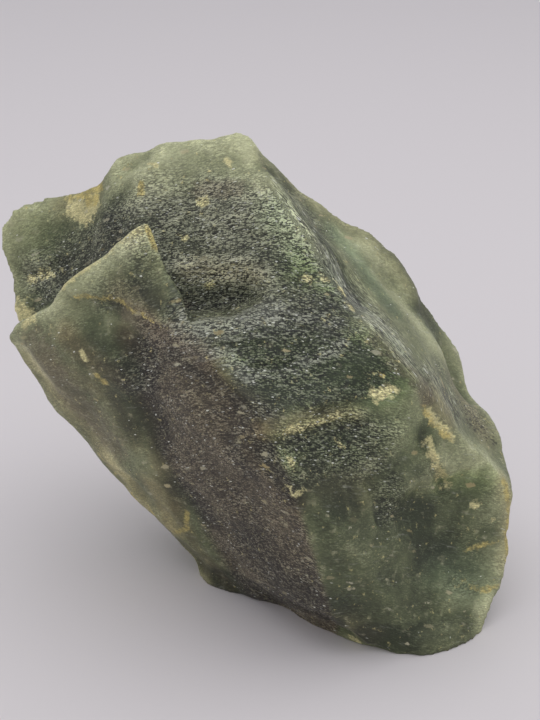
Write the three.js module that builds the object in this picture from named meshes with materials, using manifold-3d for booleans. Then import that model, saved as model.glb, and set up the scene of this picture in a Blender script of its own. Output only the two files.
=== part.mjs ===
// Raw aventurine: one rough, unpolished lump of green mica quartzite, as it comes from the quarry.
// Millimetres, +Z up, +X along the longest side. The origin is on the resting face, under the
// middle of the bounding box.
//
// The lump is made the way such a stone gets its shape: a block with flat faces is parted from
// the rock (CORNERS), pieces split off it (CUTS), its faces are hollowed and swollen (STROKES)
// and step back along ledges (LEDGES), and the whole skin is uneven (UNEVENNESS).
import * as THREE from "three";
import { ConvexGeometry } from "three/addons/geometries/ConvexGeometry.js";
import { ImprovedNoise } from "three/addons/math/ImprovedNoise.js";
import { TessellateModifier } from "three/addons/modifiers/TessellateModifier.js";
import { mergeVertices } from "three/addons/utils/BufferGeometryUtils.js";
import Module from "manifold-3d";

const wasm = await Module();
wasm.setup();

// ------------------------------------------------------------------ sizes of the finished skin

const LONGEST_EDGE = 4.2; // no side of a triangle is longer
const SPLIT_PASSES = 12; // enough to reach that from the block's longest side
const EVEN_PASSES = 8; // rounds of making the triangles even
const FLAT_ANGLE = THREE.MathUtils.degToRad(9); // triangles that bend less are one flat face
const LIP = 1.5; // half the width of a ledge's edge
const BASE_HEIGHT = 0.6; // the rough underside is flat where it rests, at this height
const WELD = 1e-3; // corners closer than this are one corner
const CUT_BOX = 300; // the side of a box that stands for all that lies beyond a plane
const UNEVENNESS = [
  { wavelength: 24, height: 2.4 },
  { wavelength: 10, height: 1.1 },
];

// ------------------------------------------------------------------ the shape, place by place

// The corners of the block: x, y, z.
const CORNERS = {
  crown: [
    [-2.8, 10, 93.7], [-0.5, 10, 92.8], [-11.6, 12, 92], [-18.6, 13, 89.8],
    [-24.7, 14, 86.4], [-30.5, 16, 81],
  ],
  leftLobe: [
    [-37.1, 22, 77.7], [-43.8, 24, 75.5], [-51.6, 26, 72.6], [-55.4, 27, 68.6],
    [-55, 26, 64], [-52.2, 23, 58], [-51, 20, 53.5],
  ],
  plate: [
    [-49.6, 5, 53], [-37.7, -2, 65.9], [-29.2, -6, 72], [-18.6, -9.8, 82.2], [-11.8, -20.4, 69.5],
  ],
  frontRidge: [[-16, -22, 67.2], [-0.5, -33, 57.6], [6.5, -38, 46.3], [15.8, -32, 6.5]],
  leftFlank: [[-44.1, 6, 41.5], [-33, 4, 26.8], [-22.8, 2, 16], [-15.6, -1, 6.2], [-11, -4, -0.6]],
  longRidge: [
    [0.7, 8, 90.9], [8.7, -3, 78.6], [16.1, -10, 69.2], [24.3, -18, 61.5],
    [29.3, -20, 55.2], [35, -19, 47.4], [42.2, -12, 37.2], [50.7, -5, 28.8],
  ],
  rightShoulder: [
    [7, 14, 82], [12.1, 16, 77.5], [19.4, 18, 72.1], [29.1, 20, 64.8], [34.7, 20, 54.7],
    [42.3, 17, 44.4], [43.8, 14, 39.3], [47.2, 9, 35.4], [50, 3, 32.6],
  ],
  rightEnd: [
    [51.4, -10, 26], [50.2, -14, 15], [48.4, -17, 6.5], [44.4, -22.5, 0],
    [35, -29.5, -0.6], [19, -25.5, -0.6],
  ],
  back: [
    [40, 12, 0], [8, 24, 0], [-12, 14, 0], [20, 34, 40], [-10, 38, 60], [-35, 34, 50],
  ],
};

// Each cut takes away what lies beyond all of its planes. A plane is a point on it and the
// direction in which the stone is taken away.
const CUTS = {
  pocketUnderCrown: [
    { point: [24.3, -18, 61.5], away: [-0.126, -0.805, 0.578] },
    { point: [-19.6, -10, 82], away: [0.9, 0.35, 0.135] },
    { point: [-13, -21, 66.2], away: [-0.24, 0.16, 0.96] },
  ],
  troughBehindPlate: [
    { point: [-36, 12, 62], away: [-0.572, -0.749, 0.335] },
    { point: [-19.1, -10, 82], away: [-0.614, 0.218, 0.759] },
    { point: [-30.5, 17, 81.2], away: [-0.785, -0.506, 0.357] },
  ],
  saddleBesideCrown: [
    { point: [-43.8, 24, 75.5], away: [-0.096, 0.511, 0.852] },
    { point: [-30.5, 17, 81.2], away: [-0.68, 0.21, 0.7] },
  ],
  scarLowOnBack: [
    { point: [10, 30, 30], away: [0.25, 0.93, 0.28] },
    { point: [0, 24, 28], away: [0.1, 0.35, 0.93] },
  ],
};

// A stroke pushes everything within its width of a line.
const STROKES = {
  pocketEnd: { from: [-12, -11, 64.5], to: [-5, -10, 65.5], width: 11, push: [0.4, 4.2, -1.6] },
  dipInStep: { from: [0, -27, 60.5], to: [8, -25, 60.5], width: 8, push: [-0.3, 1, -1.1] },
  dipByRidge: { from: [17, -24, 61], to: [20, -23, 58], width: 7, push: [-0.4, 0.9, -0.6] },
  valleyTop: { from: [-20, -17, 58], to: [-19, -17, 43], width: 11, push: [0.7, 1.1, 0.2] },
  valleyFoot: { from: [-19, -17, 43], to: [-13.7, -15.6, 27], width: 10, push: [0.7, 1.1, 0.2] },
  plateHollow: { from: [-31, -10, 62], to: [-27, -12, 61.5], width: 9, push: [0.6, 1.1, -0.3] },
  frontSwelling: { from: [26, -27, 47], to: [31, -25, 38], width: 10, push: [0.6, -1.2, 0.3] },
  rightHollow: { from: [30, -27, 25], to: [36, -22, 20], width: 13, push: [-0.6, 1.5, 0.2] },
  rightLobe: { from: [38, -20, 37], to: [47, -13, 35], width: 8, push: [0.3, -0.6, 1] },
  shoulderDip: { from: [9, 14, 82], to: [12, 10, 79], width: 14, push: [-1.6, 0, -2.2] },
  plateTip: { from: [-19, -9, 81], to: [-18.5, -9.5, 79], width: 7, push: [0.8, -0.3, 2.6] },
  crownBrim: { from: [-8, 11, 93], to: [-5, 11, 93.5], width: 5, push: [0, 0, -0.8] },
  besideCrown: { from: [1, 9, 91], to: [9, 14, 81], width: 8, push: [-0.9, 0, -0.7] },
  rightBrow: { from: [25, 19, 69], to: [33, 20, 60], width: 12, push: [1.4, 0.3, 1.5] },
  rightCheek: { from: [38, 18, 51], to: [41, 18, 47], width: 9, push: [0.9, 0, 0.6] },
  rightNotch: { from: [51, -11, 23], to: [51, -12, 20], width: 9, push: [-1.9, 0, 0] },
  rightToe: { from: [45, -22, 1], to: [34, -29, 0], width: 12, push: [0, -1.8, 0] },
  raisedFoot: { from: [4, -19, 2], to: [14, -29, 3], width: 9, push: [0, 1.6, 2.4] },
  flankFoot: { from: [-20, 1.5, 12], to: [-14, -1, 5], width: 9, push: [2, 0.4, 0.9] },
  flankSide: { from: [-39, 5, 34], to: [-34, 4, 28], width: 10, push: [-1.2, 0, -0.9] },
  lobeNose: { from: [-52, 26.5, 72], to: [-55, 27, 68], width: 8, push: [-1, 0, 1.4] },
  lobeNotch: { from: [-52.5, 23, 59], to: [-52, 23, 57], width: 6, push: [1.6, 0, 0] },
  backHollow: { from: [-8, 38, 54], to: [4, 34, 50], width: 18, push: [0, -2, 0] },
  backRightHollow: { from: [36, 22, 30], to: [40, 18, 18], width: 14, push: [-2, -3, 0] },
  backLeftHollow: { from: [-30, 30, 48], to: [-18, 28, 34], width: 12, push: [1, -3, 1] },
};

// A ledge: past its line, in the direction below, the face steps back by the push, and comes up
// again over the reach.
const LEDGES = {
  frontBrow: {
    from: [-2, -33, 52], to: [24, -25, 55.5], below: [0, -0.2, -1], reach: 22, push: [-1, 3.4, 0],
  },
  underRightLobe: {
    from: [25, -28, 33], to: [50, -14, 33], below: [-0.2, 0, -1], reach: 20, push: [-1.6, 2.8, 0],
  },
  upperBackStep: {
    from: [-34, 34, 66], to: [30, 28, 52], below: [0.2, 0.2, 1], reach: 30, push: [0, -3, -1],
  },
  lowerBackStep: {
    from: [-30, 34, 38], to: [36, 30, 26], below: [0.2, 0, -1], reach: 24, push: [0, -3, 0],
  },
};

const STONE = { color: "#66755f", roughness: 0.72, metalness: 0 };

// ------------------------------------------------------------------ solids and meshes

const vector = ([x, y, z]) => new THREE.Vector3(x, y, z);

function solidOf(geometry) {
  const skin = geometry.clone();
  skin.deleteAttribute("normal");
  skin.deleteAttribute("uv");
  const welded = mergeVertices(skin, WELD / 10);
  return new wasm.Manifold(
    new wasm.Mesh({
      numProp: 3,
      vertProperties: new Float32Array(welded.attributes.position.array),
      triVerts: new Uint32Array(welded.index.array),
    }),
  );
}

function geometryOf(solid) {
  const mesh = solid.getMesh();
  const geometry = new THREE.BufferGeometry();
  geometry.setAttribute("position", new THREE.BufferAttribute(mesh.vertProperties, 3));
  geometry.setIndex(new THREE.BufferAttribute(mesh.triVerts, 1));
  return geometry;
}

// Everything beyond a plane, as a box that stands on it.
function beyond({ point, away }) {
  const up = new THREE.Vector3(0, 0, 1);
  const turn = new THREE.Quaternion().setFromUnitVectors(up, vector(away).normalize());
  const box = new THREE.BoxGeometry(CUT_BOX, CUT_BOX, CUT_BOX);
  box.translate(0, 0, CUT_BOX / 2);
  box.applyQuaternion(turn);
  box.translate(...point);
  return solidOf(box);
}

function splitOff(solid, planes) {
  const lost = planes.map(beyond).reduce((all, next) => all.intersect(next));
  return solid.subtract(lost);
}

// ------------------------------------------------------------------ an even mesh on a solid

const cornerOf = (position, index) => new THREE.Vector3().fromBufferAttribute(position, index);

function normalOf(position, triangle) {
  const [a, b, c] = triangle.map((corner) => cornerOf(position, corner));
  return new THREE.Triangle(a, b, c).getNormal(new THREE.Vector3());
}

function angleAt(position, tip, left, right) {
  const apex = cornerOf(position, tip);
  const toLeft = cornerOf(position, left).sub(apex);
  const toRight = cornerOf(position, right).sub(apex);
  return toLeft.angleTo(toRight);
}

const edgeKey = (a, b) => (a < b ? `${a} ${b}` : `${b} ${a}`);

// The two triangles at each edge, with the edge's ends a and b and the corner that faces it.
function sidesByEdge(triangles) {
  const sides = new Map();
  triangles.forEach((triangle, owner) => {
    triangle.forEach((a, k) => {
      const b = triangle[(k + 1) % 3];
      const key = edgeKey(a, b);
      const side = { owner, a, b, tip: triangle[(k + 2) % 3] };
      sides.set(key, [...(sides.get(key) ?? []), side]);
    });
  });
  return sides;
}

// Where two thin triangles lie flat beside each other, the edge between them is turned, to join
// the two corners that faced it.
function turnEdges(position, triangles) {
  const sides = sidesByEdge(triangles);
  const turned = new Set();
  const changed = new Set();
  sides.forEach(([one, two]) => {
    const newKey = edgeKey(one.tip, two.tip);
    const taken = sides.has(newKey) || turned.has(newKey);
    if (taken || changed.has(one.owner) || changed.has(two.owner)) return;
    const facing = [one, two].map(({ tip, a, b }) => angleAt(position, tip, a, b));
    if (facing[0] + facing[1] <= Math.PI) return;
    const halves = [[one.a, two.tip, one.tip], [two.tip, one.b, one.tip]];
    const old = [one, two].map(({ owner }) => normalOf(position, triangles[owner]));
    const bends = halves.map((half, k) => normalOf(position, half).angleTo(old[k]));
    if (Math.max(old[0].angleTo(old[1]), ...bends) > FLAT_ANGLE) return;
    triangles[one.owner] = halves[0];
    triangles[two.owner] = halves[1];
    changed.add(one.owner).add(two.owner);
    turned.add(newKey);
  });
}

// A corner inside a flat face slides to the middle of its neighbours; one on an edge stays.
function slideCorners(position, triangles) {
  const around = Array.from({ length: position.count }, () => ({ near: new Set(), normals: [] }));
  triangles.forEach((triangle) => {
    const normal = normalOf(position, triangle);
    triangle.forEach((corner) => {
      around[corner].normals.push(normal);
      triangle.filter((other) => other !== corner).forEach((other) => around[corner].near.add(other));
    });
  });
  around.forEach(({ near, normals }, corner) => {
    const face = normals.reduce((sum, normal) => sum.add(normal), new THREE.Vector3()).normalize();
    if (normals.some((normal) => normal.angleTo(face) > FLAT_ANGLE / 2)) return;
    const sum = new THREE.Vector3();
    near.forEach((other) => sum.add(cornerOf(position, other)));
    const here = cornerOf(position, corner);
    const slide = sum.divideScalar(near.size).sub(here).projectOnPlane(face);
    position.setXYZ(corner, ...here.addScaledVector(slide, 0.5));
  });
}

function evenMesh(solid) {
  const tessellate = new TessellateModifier(LONGEST_EDGE, SPLIT_PASSES);
  const split = tessellate.modify(geometryOf(solid).toNonIndexed());
  const mesh = mergeVertices(split, WELD);
  const triangles = [];
  for (let i = 0; i < mesh.index.count; i += 3) {
    triangles.push([mesh.index.getX(i), mesh.index.getX(i + 1), mesh.index.getX(i + 2)]);
  }
  for (let pass = 0; pass < EVEN_PASSES; pass += 1) {
    turnEdges(mesh.attributes.position, triangles);
    slideCorners(mesh.attributes.position, triangles);
  }
  mesh.setIndex(triangles.flat());
  return mesh;
}

// ------------------------------------------------------------------ hollows, ledges and skin

function strokeShift(place, { from, to, width, push }) {
  const line = new THREE.Line3(vector(from), vector(to));
  const nearest = line.closestPointToPoint(place, true, new THREE.Vector3());
  const share = Math.min(nearest.distanceTo(place) / width, 1);
  return vector(push).multiplyScalar((1 - share ** 2) ** 2);
}

function ledgeShift(place, { from, to, below, reach, push }) {
  const line = new THREE.Line3(vector(from), vector(to));
  const along = THREE.MathUtils.clamp(line.closestPointToPointParameter(place, false), 0, 1);
  const offset = place.clone().sub(line.at(along, new THREE.Vector3()));
  const step = THREE.MathUtils.smoothstep(offset.dot(vector(below).normalize()), -LIP, LIP);
  const fade = 1 - Math.min(offset.length() / reach, 1);
  return vector(push).multiplyScalar(step * fade * Math.sin(Math.PI * along));
}

const noise = new ImprovedNoise();

// Three readings of one noise, taken well apart, are the three parts of a random push.
function noiseShift(place, { wavelength, height }) {
  const { x, y, z } = place.clone().divideScalar(wavelength);
  const readings = [
    noise.noise(x + 11.3, y, z),
    noise.noise(x, y + 27.9, z),
    noise.noise(x, y, z + 41.7),
  ];
  return vector(readings).multiplyScalar(height);
}

function weathered(geometry) {
  const position = geometry.attributes.position;
  for (let corner = 0; corner < position.count; corner += 1) {
    const place = cornerOf(position, corner);
    const shifts = [
      ...Object.values(STROKES).map((stroke) => strokeShift(place, stroke)),
      ...Object.values(LEDGES).map((ledge) => ledgeShift(place, ledge)),
      ...UNEVENNESS.map((layer) => noiseShift(place, layer)),
    ];
    shifts.forEach((shift) => place.add(shift));
    position.setXYZ(corner, ...place);
  }
  return geometry;
}

// ------------------------------------------------------------------ the stone

const block = solidOf(new ConvexGeometry(Object.values(CORNERS).flat().map(vector)));
const splitBlock = Object.values(CUTS).reduce(splitOff, block);
const roughStone = solidOf(weathered(evenMesh(splitBlock)));
const stone = splitOff(roughStone, [{ point: [0, 0, BASE_HEIGHT], away: [0, 0, -1] }]);

const skin = geometryOf(stone);
skin.computeBoundingBox();
const middle = skin.boundingBox.getCenter(new THREE.Vector3());
skin.translate(-middle.x, -middle.y, -BASE_HEIGHT);
skin.computeVertexNormals();

const aventurine = new THREE.Mesh(skin, new THREE.MeshStandardMaterial(STONE));
aventurine.name = "aventurine";

const part = new THREE.Group();
part.add(aventurine);

export default part;
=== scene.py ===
# %% [markdown]
# # A lump of raw green aventurine
#
# Aventurine is a quartzite: quartz grains of a fraction of a millimetre, grown together, with
# flakes of green mica between them. A raw lump is what the hammer and the quarry leave. This
# lesson takes the exact faceted solid of the lump and gives it the skin that the real one has:
# the layers that the rock splits along, its lips and chips, the sugary grain, the glitter of
# the mica and the stains that water left in it.

# %% The fixed frame
from math import radians

import bmesh
import bpy
import numpy as np
from mathutils import Matrix, Vector, noise
from mathutils.bvhtree import BVHTree


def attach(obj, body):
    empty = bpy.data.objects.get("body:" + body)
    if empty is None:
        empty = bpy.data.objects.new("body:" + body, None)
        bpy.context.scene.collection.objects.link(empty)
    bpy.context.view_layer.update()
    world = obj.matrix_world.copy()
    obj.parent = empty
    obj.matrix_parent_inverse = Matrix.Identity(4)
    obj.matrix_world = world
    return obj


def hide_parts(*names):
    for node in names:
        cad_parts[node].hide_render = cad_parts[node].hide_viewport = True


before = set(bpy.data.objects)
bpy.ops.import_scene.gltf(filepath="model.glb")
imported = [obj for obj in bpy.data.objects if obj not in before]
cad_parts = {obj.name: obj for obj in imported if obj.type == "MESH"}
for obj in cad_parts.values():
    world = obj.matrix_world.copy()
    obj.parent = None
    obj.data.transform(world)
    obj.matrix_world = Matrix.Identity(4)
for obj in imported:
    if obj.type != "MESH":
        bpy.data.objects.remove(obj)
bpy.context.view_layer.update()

MM = 0.001

# %% [markdown]
# ## The camera
#
# The lump is seen from a little above, as a hand-sized stone on a table is. A long lens from
# about 28 cm keeps its proportions calm. The camera could be turned by hand until the view
# looks right; here its place is worked out from the point it looks at, its distance and its
# height above the horizon, so that each of them can be changed by itself.

# %% Camera
LOOKS_AT = Vector((4.56, 1.84, 49.4)) * MM
DISTANCE = 280 * MM
ELEVATION = radians(25)
LENS = 70  # mm, as lenses are named
NEAREST = 10 * MM  # what is nearer to the lens is not drawn

towards_eye = Matrix.Rotation(-ELEVATION, 4, "X") @ Vector((0, -1, 0))
camera = bpy.data.objects.new("camera", bpy.data.cameras.new("camera"))
camera.data.lens = LENS
camera.data.clip_start = NEAREST
camera.location = LOOKS_AT + towards_eye * DISTANCE
camera.rotation_euler = (radians(90) - ELEVATION, 0, 0)
bpy.context.scene.collection.objects.link(camera)
bpy.context.scene.camera = camera
print("camera at, in mm:", [round(v / MM, 1) for v in camera.location])

# %% [markdown]
# ## Colours and nodes
#
# Two jobs come back in every material. A colour is picked on a screen and written as sRGB hex,
# but Blender adds up light, so it wants linear numbers. A pattern is a net of nodes. Each node
# could be added, set and linked in lines of its own; one small function that takes its settings
# and its links together keeps the net readable.

# %% Colour and node helpers
def linear(hex_colour):
    """A colour written as sRGB hex, as the linear numbers that Blender works with."""
    channels = [int(hex_colour[i : i + 2], 16) / 255 for i in (1, 3, 5)]
    bent = [c / 12.92 if c <= 0.04045 else ((c + 0.055) / 1.055) ** 2.4 for c in channels]
    return (*bent, 1.0)


def add_node(tree, kind, settings=None, **links):
    """Adds a node. settings are its own properties. links give its sockets, by name or as _0
    for the first, a value, an output, or the first live output of another node."""
    node = tree.nodes.new(kind)
    for name, value in (settings or {}).items():
        setattr(node, name, value)
    for name, value in links.items():
        key = int(name[1:]) if name[1:].isdigit() else name.replace("_", " ")
        if isinstance(value, bpy.types.Node):
            value = next(output for output in value.outputs if output.enabled)
        if isinstance(value, bpy.types.NodeSocket):
            tree.links.new(value, node.inputs[key])
        else:
            node.inputs[key].default_value = value
    return node


print("middle grey as light:", round(linear("#808080")[0], 3))

# %% [markdown]
# ## The floor and the light
#
# The lump lies on a sheet of matt off-white board, so large that only a low view reaches its
# far edge, in the even light of a white cloth tent. The world is the tent, a little darker
# towards its opening at the front, and one broad panel hangs above, slightly to the right and
# to the front. The shadow gathers softly around the lump's foot. Small sharp lamps would light
# every mica flake, and the lump would look wet.

# %% Floor
FLOOR_SIDE = 12.0  # metres
# matt card: it takes a soft shade and shows no highlight
CARD = {"Base Color": linear("#E2DDDF"), "Roughness": 0.85}

board = bmesh.new()
bmesh.ops.create_grid(board, x_segments=1, y_segments=1, size=FLOOR_SIDE / 2)
floor = bpy.data.objects.new("floor", bpy.data.meshes.new("floor"))
board.to_mesh(floor.data)
board.free()
bpy.context.scene.collection.objects.link(floor)

matt_board = bpy.data.materials.new("matt white board")
matt_board.use_nodes = True
for name, value in CARD.items():
    matt_board.node_tree.nodes["Principled BSDF"].inputs[name].default_value = value
floor.data.materials.append(matt_board)
print("floor:", FLOOR_SIDE, "m wide")

# %% Light
TENT = "#ECECF0"
TENT_GLOW = 0.69
OPENING_GLOW = 0.66
DIMS_FROM, DIMS_TO = -0.05, -0.95  # Y of the direction: 0 is sideways, -1 straight to the front
PANEL_AT = (0.05, -0.06, 0.7)  # metres
PANEL_SIDE = 0.9  # metres
PANEL_POWER = 2.1  # watts

world = bpy.data.worlds.new("cloth tent")
bpy.context.scene.world = world
world.use_nodes = True
tent = world.node_tree.nodes["Background"]
tent.inputs["Color"].default_value = linear(TENT)
direction = add_node(world.node_tree, "ShaderNodeTexCoord")
parts = add_node(world.node_tree, "ShaderNodeSeparateXYZ", Vector=direction.outputs["Generated"])
glow = add_node(
    world.node_tree,
    "ShaderNodeMapRange",
    {"interpolation_type": "SMOOTHSTEP"},
    Value=parts.outputs["Y"],
    From_Min=DIMS_TO,
    From_Max=DIMS_FROM,
    To_Min=OPENING_GLOW,
    To_Max=TENT_GLOW,
)
world.node_tree.links.new(glow.outputs["Result"], tent.inputs["Strength"])

lamp = bpy.data.lights.new("overhead panel", "AREA")
lamp.size = PANEL_SIDE
lamp.energy = PANEL_POWER
panel = bpy.data.objects.new("overhead panel", lamp)
panel.location = PANEL_AT
panel.rotation_euler = (Vector(PANEL_AT) - LOOKS_AT).to_track_quat("Z", "Y").to_euler()
bpy.context.scene.collection.objects.link(panel)
bpy.context.scene.view_settings.view_transform = "Standard"
print("light: tent", TENT_GLOW, "towards the opening", OPENING_GLOW, "panel", PANEL_POWER, "W")

# %% [markdown]
# ## An even skin over the exact solid
#
# The solid's triangles are 2 to 4 mm wide, too coarse for chips and grain. The skin is a copy of
# it. Subdividing would keep the slivers between the old triangles; a voxel remesh gives a new
# mesh of even squares, on which a push of a tenth of a millimetre looks the same everywhere.
# Plain smoothing would also wear the sharp lips down by a millimetre. Here every round that
# pulls the corners in is followed by one that pushes them out again, which takes the facets
# away and leaves the lips.

# %% Remesh and smooth
WELD = 0.001 * MM
VOXEL = 0.6 * MM
ROUNDS = 7
# shares of the way to the mean of a corner's neighbours
PULL_IN, PUSH_OUT = 0.5, -0.52

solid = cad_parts["aventurine"]
merged = bmesh.new()
merged.from_mesh(solid.data)
bmesh.ops.remove_doubles(merged, verts=merged.verts, dist=WELD)
blank = bpy.data.objects.new("blank", bpy.data.meshes.new("blank"))
merged.to_mesh(blank.data)
merged.free()
bpy.context.scene.collection.objects.link(blank)
remesh = blank.modifiers.new("even squares", "REMESH")
remesh.mode = "VOXEL"
remesh.voxel_size = VOXEL
remeshed = bpy.data.meshes.new_from_object(
    blank.evaluated_get(bpy.context.evaluated_depsgraph_get())
)
bpy.data.objects.remove(blank)

skin = bmesh.new()
skin.from_mesh(remeshed)
ends = np.array([[v.index for v in edge.verts] for edge in skin.edges])
here_end, there_end = np.concatenate([ends, ends[:, ::-1]]).T
neighbours = np.bincount(here_end)[:, None]


def neighbour_mean(values):
    """The mean of each corner's neighbours."""
    sums = [np.bincount(here_end, column[there_end]) for column in values.T]
    return np.column_stack(sums) / neighbours


place = np.array([v.co for v in skin.verts]) / MM
for factor in (PULL_IN, PUSH_OUT) * ROUNDS:
    place += factor * (neighbour_mean(place) - place)
print("skin:", len(skin.verts), "corners,", 2 * len(skin.faces), "triangles")

# %% [markdown]
# ## Measures over the whole skin
#
# Every later step asks the same questions at every corner of the skin: where is it, which way
# does it face, how far is it from this line. Numpy answers them for all corners at once, in
# millimetres. A mask is one number from 0 to 1 for each corner.

# %% Masks
def moved():
    """Hands the places to the skin, and gives back the way each corner then faces."""
    for corner, spot in zip(skin.verts, place * MM):
        corner.co = spot
    skin.normal_update()
    return np.array([v.normal for v in skin.verts])


def ramp(value, low, high):
    """0 below low, 1 above high, and smooth in between."""
    share = np.clip((value - low) / (high - low), 0, 1)
    return share * share * (3 - 2 * share)


def offset_from(line):
    """Each corner's offset from the nearest point of a line through two or more points."""
    best = np.full_like(place, np.inf)
    for start, end in zip(np.array(line[:-1], float), np.array(line[1:], float)):
        way = end - start
        share = np.clip((place - start) @ way / (way @ way), 0, 1)
        offset = place - start - share[:, None] * way
        closer = np.linalg.norm(offset, axis=1) < np.linalg.norm(best, axis=1)
        best[closer] = offset[closer]
    return best


def near(line, width):
    """1 on the line and 0 from the width outwards."""
    distance = np.linalg.norm(offset_from(line), axis=1)
    return (1 - np.clip(distance / width, 0, 1) ** 2) ** 2


def facing(way, low, high):
    """1 where the skin faces that way."""
    return ramp(normal @ (np.array(way, float) / np.linalg.norm(way)), low, high)


def noise_over(points, wavelengths, shift):
    """Smooth noise from about -1 to 1. The three wavelengths make its lumps long or flat."""
    scaled = points / np.array(wavelengths, float) + shift
    return np.array([noise.noise(Vector(p)) for p in scaled])


normal = moved()
print("skin reaches, in mm:", place.min(0).round(1), place.max(0).round(1))

# %% [markdown]
# ## Softer bends
#
# In the middle of the lump the faces meet in long worn bends, while its rim kept crisp lips.
# The facets of the exact solid make every meeting equally crisp. Smoothing the whole skin once
# more would round the lips too, so here only the corners near two lines slide towards the mean
# of their neighbours.

# %% Softer bends
# name: (line, width in mm)
SOFT = {
    "pocket to shelf": ([(-1, -9, 65.5), (8, -9, 67), (18, -8, 68)], 10),
    "shelf to brow": ([(4, -23, 59), (14, -21, 59.5), (24, -20, 57)], 7),
}
SOFTENING_ROUNDS = 32
for line, width in SOFT.values():
    softness = PULL_IN * ramp(near(line, width), 0, 0.5)[:, None]
    for _ in range(SOFTENING_ROUNDS):
        place += softness * (neighbour_mean(place) - place)
normal = moved()
print("softened bends:", ", ".join(SOFT))

# %% [markdown]
# ## Swellings
#
# A broken stone is never as even as a solid built of flat faces: it swells by a millimetre at a
# shoulder and falls back beside it. A sculpting brush would do this by hand. Here each swelling
# is a line on the lump, a width and a push, as a thumb would press clay, so that it can be
# found by its name and changed later. The plate's thin edge is not pushed out but lifted.

# %% Swellings
# name: (line, width in mm, push outwards in mm)
SWELLS = {
    "peak": ([(-2, 11.7, 91.5), (1, 11.7, 90.5)], 5, 0.6),
    "ridge behind the peak": ([(5, 12, 85.3), (8, 13.5, 82), (13, 15, 77)], 5, 0.9),
    "right shoulder": ([(30, 14.5, 64.5), (33, 14, 60)], 5, 1.2),
    "beside the torn face": ([(41, 11, 45.5), (44.5, 9, 40)], 6, -1.8),
    "right outline": ([(49.5, 6, 34.5), (51, 2, 31.5)], 4, 0.7),
    "right rim": ([(51.5, -8, 27), (51, -11, 23), (50.9, -12.5, 16), (50, -15, 10)], 6, 0.9),
    "foot of the right rim": ([(36, -27.5, 1.5), (43, -24, 1)], 5, 1.1),
    "foot of the brown face": ([(8, -25, 5), (14.6, -28.4, 7.7), (18, -28, 3)], 6, -2.1),
    "foot of the valley": ([(-8, -5, 1), (-4, -6, 1)], 4, 0.9),
    "rim of the left lobe": ([(-48, 27, 71), (-41.6, 25.7, 73.6), (-33, 21, 78)], 6, 0.7),
    "crown's left shoulder": ([(-24.5, 13.5, 86.5), (-21, 13.5, 88.5)], 5, -1.2),
    "left corner": ([(-49, 21, 56), (-48, 20, 50), (-46, 5, 54)], 5, 0.8),
    "left outline": ([(-46, 3.5, 50), (-42, 3.9, 44.4)], 5, -1.0),
    "low left outline": ([(-24, -1, 24), (-21, -2, 21)], 4, -0.6),
    "left of the foot": ([(-13, -4, 9), (-9, -3.5, 2.6)], 4, -0.4),
}
# line, width in mm, lift in mm
PLATE_EDGE = ([(-22, -6.5, 76), (-28, -5, 71), (-35, -3, 65.5)], 8, 2.3)

for line, width, push in SWELLS.values():
    place += normal * (push * near(line, width))[:, None]
line, width, lift = PLATE_EDGE
place[:, 2] += lift * near(line, width)
normal = moved()
print("swellings:", len(SWELLS))

# %% [markdown]
# ## Ledges
#
# Where a layer broke off, its end is left as a low step with a crisp lip. Cutting with a second
# solid would leave steps as straight as a shelf. A ledge here is a line, and its two sides move
# apart: the skin above it comes out and the skin below it goes in. A little noise makes the
# line wander, as a broken edge does.

# %% Ledges
# name: (line, the way down across it, depth in mm, reach in mm)
LEDGES = {
    "brow": ([(3, -32, 49.7), (10, -28.7, 49.8), (20, -24, 50.2)], (0, -0.1, -1), 1.2, 5),
    "fold on the plate": (
        [(-33, -4, 65.6), (-27.6, -7, 66.6), (-23.4, -10.5, 67.4), (-16.4, -18, 66.2)],
        (0, 0, -1), 1.0, 4.5,
    ),
    "lobe's foot": ([(-48, 21, 59.5), (-42, 21, 62), (-38, 17, 65)], (0.2, 0, -1), 0.9, 4),
    "right lip": ([(34, -19.5, 42), (36, -19, 38), (39.5, -14.5, 30)], (-1, -0.4, -0.4), 1.0, 4),
    "ridgelet": ([(22, -27, 37.5), (23.5, -28, 33), (25, -28, 28)], (1, -0.4, 0.1), 1.0, 4),
    "yellow step": ([(40, -20, 11.7), (46.5, -18, 8.4)], (0.2, 0, -1), 0.5, 3),
    "shelf's brim": ([(-8, -23.5, 62.5), (0, -24, 60), (8, -22, 60.5)], (0, -0.3, -1), 0.6, 3),
}
CRUMBLING = 0.8  # mm that a broken edge wanders by
LIP = 0.5  # mm over which the skin turns at a lip
SUNK = 0.15  # of a step's depth, 0.35 stands out above the line and 0.65 falls in below it

crumbled = CRUMBLING * noise_over(place, (3, 3, 2), 6.6)
for line, down, depth, reach in LEDGES.values():
    offset = offset_from(line)
    fade = near(line, reach)
    below = offset @ (np.array(down, float) / np.linalg.norm(down)) + crumbled
    place -= normal * (depth * (SUNK + 0.5 * np.tanh(below / LIP)) * fade)[:, None]
normal = moved()
print("ledges:", ", ".join(LEDGES))

# %% [markdown]
# ## The layers of the rock
#
# The mica flakes lie flat in the rock, all the same way, and the rock parts along them. Where
# a face cuts across the layers they show as short wavy steps; where a face lies along them they
# show as broad scales. The layers arch up in the middle of the lump, so their height is worked
# out first, and the noise is stretched along them. The right flank was torn along its length
# instead, and its streaks run down the long ridge.

# %% Layers
# along the layers, and far more along the torn flank, the place is shrunk to stretch the noise
ALONG_LAYERS, ALONG_FLANK = 0.8, 0.35
ARCH_SLOPE, ARCH_MIDDLE, ARCH_ROUNDING = 0.22, 3, 8  # the last two in mm
RIDGE_WAY = np.array([0.584, -0.364, -0.725])
OUT_OF_FLANK = (0.7, -0.1, 0.7)
TORN_FROM = 0.15  # of the mask beside the ridge
# x, height
LONG_RIDGE = ((2, 89), (10, 78.4), (18, 68.3), (26, 61), (31, 55), (37, 46.5), (43, 38), (51, 29.5))

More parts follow.
